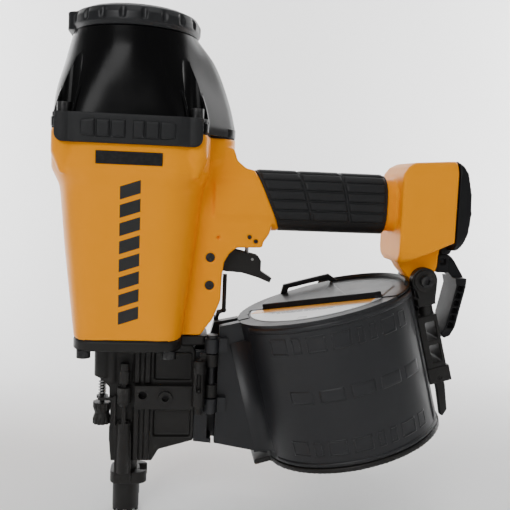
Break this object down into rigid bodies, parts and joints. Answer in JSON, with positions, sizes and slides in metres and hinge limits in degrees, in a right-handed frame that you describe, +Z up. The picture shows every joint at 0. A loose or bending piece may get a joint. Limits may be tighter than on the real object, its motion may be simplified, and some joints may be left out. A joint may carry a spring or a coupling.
{
  "type": "pneumatic coil nailer",
  "caption": "Hand-held pneumatic nailer with a domed head, side handle, tilted round nail canister that swings open, and a sprung contact foot.",
  "frame": {"origin": "on the drive axis, in the plane of the contact foot's rim", "axes": "+Z up the drive axis towards the deflector, +X towards the rear of the handle, the canister door is on the -Y side"},
  "size_m": [0.3248, 0.144, 0.3869],
  "materials": {
    "yellow_paint": "satin powder coat on cast magnesium",
    "gloss_black": "gloss black paint",
    "black_rubber": "matt moulded rubber",
    "black_trim": "fine-grained black plastic",
    "gasket": "matt",
    "deflector": "satin moulded plastic",
    "dark_steel": "black oxide, lightly worn",
    "black_screws": "black oxide",
    "bright_steel": "ground",
    "spring_steel": "drawn wire",
    "aluminium": "machined, anodised",
    "urethane": "cast urethane",
    "valve_plastic": "moulded acetal",
    "dark_plastic": "satin moulded plastic",
    "grey_plastic": "satin moulded plastic",
    "label": "printed film with no lettering"
  },
  "bodies": {
    "frame": {"housing": "yellow_paint", "cylinder_cap": "gloss_black", "cap_gasket": "gasket", "cap_screws": "black_screws", "side_guards": "black_rubber", "nameplates": "black_trim", "cylinder_sleeve": "aluminium", "sleeve_o_rings": "gasket", "piston_bumper": "urethane", "base_gasket": "gasket", "nose_body": "dark_steel", "nose_screws": "black_screws", "feed_bar": "dark_steel", "feed_cylinder": "dark_steel", "feed_cylinder_plug": "bright_steel", "plunger_tube": "dark_steel", "trigger_valve_body": "black_trim", "housing_pins": "black_screws", "grip_sleeve": "black_rubber", "end_cap": "black_trim", "end_cap_gasket": "gasket", "end_cap_screws": "black_screws", "hook_bracket": "black_trim", "canister_frame": "dark_plastic", "canister_base": "dark_steel", "canister_top_plate": "grey_plastic", "top_plate_handle": "black_trim", "door_hinge_pin": "black_screws", "support_bracket": "dark_steel", "bracket_bolt": "black_screws", "bracket_washers": "dark_steel", "latch_keeper": "dark_steel", "deflector_screw": "black_screws", "platform_post": "dark_plastic"},
    "deflector": {"exhaust_deflector": "deflector"},
    "piston_and_driver": {"piston": "aluminium", "driver_blade": "bright_steel", "piston_ring": "gasket"},
    "head_valve_body": {"head_valve": "valve_plastic", "head_valve_spring": "spring_steel"},
    "trigger_body": {"trigger": "dark_steel", "trip_lever_pin": "bright_steel"},
    "trip_lever_body": {"trip_lever": "bright_steel"},
    "valve_stem_body": {"valve_stem": "bright_steel"},
    "contact_arm_body": {"contact_foot": "dark_steel", "contact_arm": "dark_steel", "depth_sleeve": "dark_steel", "contact_rod": "dark_steel", "contact_spring": "spring_steel"},
    "depth_dial_body": {"depth_dial": "dark_steel"},
    "feed_body": {"feed_piston": "bright_steel", "feed_pawl": "bright_steel", "feed_spring": "spring_steel"},
    "door": {"door_shell": "dark_plastic", "door_lid": "dark_plastic", "lid_label": "label"},
    "latch": {"latch_lever": "dark_steel"},
    "platform": {"nail_platform": "dark_plastic"},
    "hook": {"rafter_hook": "black_trim"},
    "door_plunger_body": {"door_plunger": "dark_steel"}
  },
  "joints": [
    {"name": "deflector_turn", "type": "hinge", "parent": "frame", "child": "deflector", "pos_m": [0, 0, 0.38], "axis": [0, 0, 1], "continuous": true},
    {"name": "driver_stroke", "type": "slide", "parent": "frame", "child": "piston_and_driver", "axis": [0, 0, -1], "range_m": [0, 0.104]},
    {"name": "head_valve_lift", "type": "slide", "parent": "frame", "child": "head_valve_body", "axis": [0, 0, 1], "range_m": [0, 0.005], "stiffness_N_per_m": 4000, "springref_m": -0.004, "deforming": ["head_valve_spring"]},
    {"name": "trigger_pull", "type": "hinge", "parent": "frame", "child": "trigger_body", "pos_m": [0.0605, 0, 0.2065], "axis": [0, -1, 0], "range_deg": [0, 7], "stiffness_Nm_per_rad": 0.6, "springref_deg": -5.73},
    {"name": "trip_lever_tilt", "type": "hinge", "parent": "trigger_body", "child": "trip_lever_body", "pos_m": [0.094, 0, 0.205], "axis": [0, 1, 0], "range_deg": [0, 8], "stiffness_Nm_per_rad": 0.02, "springref_deg": -5.73},
    {"name": "valve_stem_lift", "type": "slide", "parent": "frame", "child": "valve_stem_body", "axis": [0, 0, 1], "range_m": [0, 0.0037]},
    {"name": "contact_travel", "type": "slide", "parent": "frame", "child": "contact_arm_body", "axis": [0, 0, 1], "range_m": [0, 0.008], "stiffness_N_per_m": 900, "springref_m": -0.012, "deforming": ["contact_spring"]},
    {"name": "depth_wheel_turn", "type": "hinge", "parent": "frame", "child": "depth_dial_body", "pos_m": [-0.0195, -0.009, 0.082], "axis": [0, 0, 1], "continuous": true},
    {"name": "feed_stroke", "type": "slide", "parent": "frame", "child": "feed_body", "axis": [1, 0, 0], "range_m": [0, 0.01], "stiffness_N_per_m": 500, "springref_m": -0.01, "deforming": ["feed_spring"]},
    {"name": "door_swing", "type": "hinge", "parent": "frame", "child": "door", "pos_m": [0.064, -0.019, 0.115], "axis": [0, 0, -1], "range_deg": [0, 100]},
    {"name": "latch_lift", "type": "hinge", "parent": "frame", "child": "latch", "pos_m": [0.24861, -0.0125, 0.11491], "axis": [0, -1, 0], "range_deg": [0, 70]},
    {"name": "platform_height", "type": "slide", "parent": "frame", "child": "platform", "axis": [-0.2588, 0, 0.9659], "range_m": [0, 0.05]},
    {"name": "hook_swivel", "type": "hinge", "parent": "frame", "child": "hook", "pos_m": [0.25, 0, 0.206], "axis": [1, 0, 0], "range_deg": [-60, 60]},
    {"name": "door_plunger_lift", "type": "slide", "parent": "frame", "child": "door_plunger_body", "axis": [0, 0, 1], "range_m": [0, 0.01], "stiffness_N_per_m": 200, "springref_m": -0.004}
  ],
  "couplings": [
    {"joint": "valve_stem_lift", "follows": "trigger_pull", "m_per_rad": 0.0295}
  ]
}
